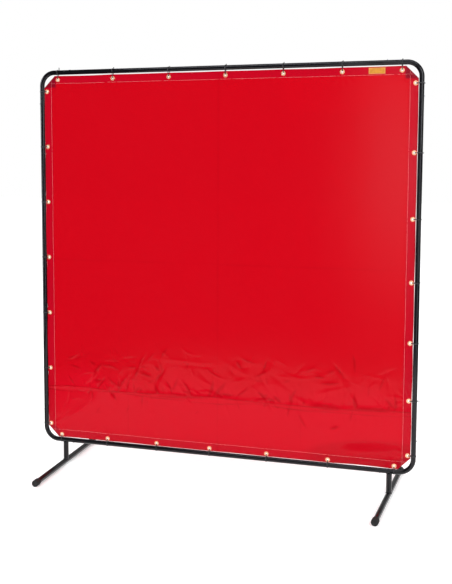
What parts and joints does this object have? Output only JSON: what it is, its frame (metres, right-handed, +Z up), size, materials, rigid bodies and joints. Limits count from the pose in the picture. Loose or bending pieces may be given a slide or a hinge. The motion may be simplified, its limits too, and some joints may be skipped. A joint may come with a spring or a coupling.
{
  "type": "welding curtain screen",
  "caption": "Free-standing square tube frame on two slip-on feet, holding a tied-in translucent vinyl curtain that shields people from welding light.",
  "frame": {"origin": "on the floor, under the middle of the screen", "axes": "+X along the screen to the right, +Y through the screen to the back, +Z up"},
  "size_m": [1.845, 0.7116, 1.947],
  "materials": {
    "black_coat": "black powder coat, satin, fine orange peel",
    "cap_rubber": "moulded, matte",
    "plated_steel": "zinc plated",
    "curtain_vinyl": "glossy translucent red vinyl sheet with faint fold creases",
    "label_tape": "yellow woven tape, blank",
    "tie_nylon": "black nylon",
    "eyelet_brass": "bright rolled brass, for the eyelets",
    "stitch_thread": "light bonded thread, for the hem stitching"
  },
  "bodies": {
    "frame": {"top_left_corner_tube": "black_coat", "top_right_corner_tube": "black_coat", "bottom_left_corner_tube": "black_coat", "bottom_right_corner_tube": "black_coat", "top_rail": "black_coat", "bottom_rail": "black_coat", "left_upright": "black_coat", "right_upright": "black_coat", "left_foot_stub": "black_coat", "right_foot_stub": "black_coat", "curtain": "curtain_vinyl", "curtain_label": "label_tape", "cable_tie_top_1": "tie_nylon", "cable_tie_top_2": "tie_nylon", "cable_tie_top_3": "tie_nylon", "cable_tie_top_4": "tie_nylon", "cable_tie_top_5": "tie_nylon", "cable_tie_top_6": "tie_nylon", "cable_tie_top_7": "tie_nylon", "cable_tie_right_1": "tie_nylon", "cable_tie_right_2": "tie_nylon", "cable_tie_right_3": "tie_nylon", "cable_tie_right_4": "tie_nylon", "cable_tie_right_5": "tie_nylon", "cable_tie_right_6": "tie_nylon", "cable_tie_right_7": "tie_nylon", "cable_tie_bottom_1": "tie_nylon", "cable_tie_bottom_2": "tie_nylon", "cable_tie_bottom_3": "tie_nylon", "cable_tie_bottom_4": "tie_nylon", "cable_tie_bottom_5": "tie_nylon", "cable_tie_bottom_6": "tie_nylon", "cable_tie_bottom_7": "tie_nylon", "cable_tie_left_1": "tie_nylon", "cable_tie_left_2": "tie_nylon", "cable_tie_left_3": "tie_nylon", "cable_tie_left_4": "tie_nylon", "cable_tie_left_5": "tie_nylon", "cable_tie_left_6": "tie_nylon", "cable_tie_left_7": "tie_nylon"},
    "left_foot": {"left_foot_post": "black_coat", "left_foot_bar": "black_coat", "left_front_foot_cap": "cap_rubber", "left_rear_foot_cap": "cap_rubber"},
    "right_foot": {"right_foot_post": "black_coat", "right_foot_bar": "black_coat", "right_front_foot_cap": "cap_rubber", "right_rear_foot_cap": "cap_rubber"},
    "top_left_rail_button": {"top_left_rail_button": "plated_steel"},
    "top_left_upright_button": {"top_left_upright_button": "plated_steel"},
    "top_right_rail_button": {"top_right_rail_button": "plated_steel"},
    "top_right_upright_button": {"top_right_upright_button": "plated_steel"},
    "bottom_left_rail_button": {"bottom_left_rail_button": "plated_steel"},
    "bottom_left_upright_button": {"bottom_left_upright_button": "plated_steel"},
    "bottom_right_rail_button": {"bottom_right_rail_button": "plated_steel"},
    "bottom_right_upright_button": {"bottom_right_upright_button": "plated_steel"}
  },
  "joints": [
    {"name": "left_foot_swivel", "type": "hinge", "parent": "frame", "child": "left_foot", "pos_m": [-0.7985, 0, 0], "axis": [0, 0, 1], "range_deg": [-93, 87]},
    {"name": "right_foot_swivel", "type": "hinge", "parent": "frame", "child": "right_foot", "pos_m": [0.7985, 0, 0], "axis": [0, 0, 1], "range_deg": [-87, 93]},
    {"name": "top_left_rail_button_press", "type": "slide", "parent": "frame", "child": "top_left_rail_button", "axis": [0, 0, -1], "range_m": [0, 0.0045], "stiffness_N_per_m": 2000, "springref_m": -0.003},
    {"name": "top_left_upright_button_press", "type": "slide", "parent": "frame", "child": "top_left_upright_button", "axis": [1, 0, 0], "range_m": [0, 0.0045], "stiffness_N_per_m": 2000, "springref_m": -0.003},
    {"name": "top_right_rail_button_press", "type": "slide", "parent": "frame", "child": "top_right_rail_button", "axis": [0, 0, -1], "range_m": [0, 0.0045], "stiffness_N_per_m": 2000, "springref_m": -0.003},
    {"name": "top_right_upright_button_press", "type": "slide", "parent": "frame", "child": "top_right_upright_button", "axis": [-1, 0, 0], "range_m": [0, 0.0045], "stiffness_N_per_m": 2000, "springref_m": -0.003},
    {"name": "bottom_left_rail_button_press", "type": "slide", "parent": "frame", "child": "bottom_left_rail_button", "axis": [0, 0, 1], "range_m": [0, 0.0045], "stiffness_N_per_m": 2000, "springref_m": -0.003},
    {"name": "bottom_left_upright_button_press", "type": "slide", "parent": "frame", "child": "bottom_left_upright_button", "axis": [1, 0, 0], "range_m": [0, 0.0045], "stiffness_N_per_m": 2000, "springref_m": -0.003},
    {"name": "bottom_right_rail_button_press", "type": "slide", "parent": "frame", "child": "bottom_right_rail_button", "axis": [0, 0, 1], "range_m": [0, 0.0045], "stiffness_N_per_m": 2000, "springref_m": -0.003},
    {"name": "bottom_right_upright_button_press", "type": "slide", "parent": "frame", "child": "bottom_right_upright_button", "axis": [-1, 0, 0], "range_m": [0, 0.0045], "stiffness_N_per_m": 2000, "springref_m": -0.003}
  ]
}
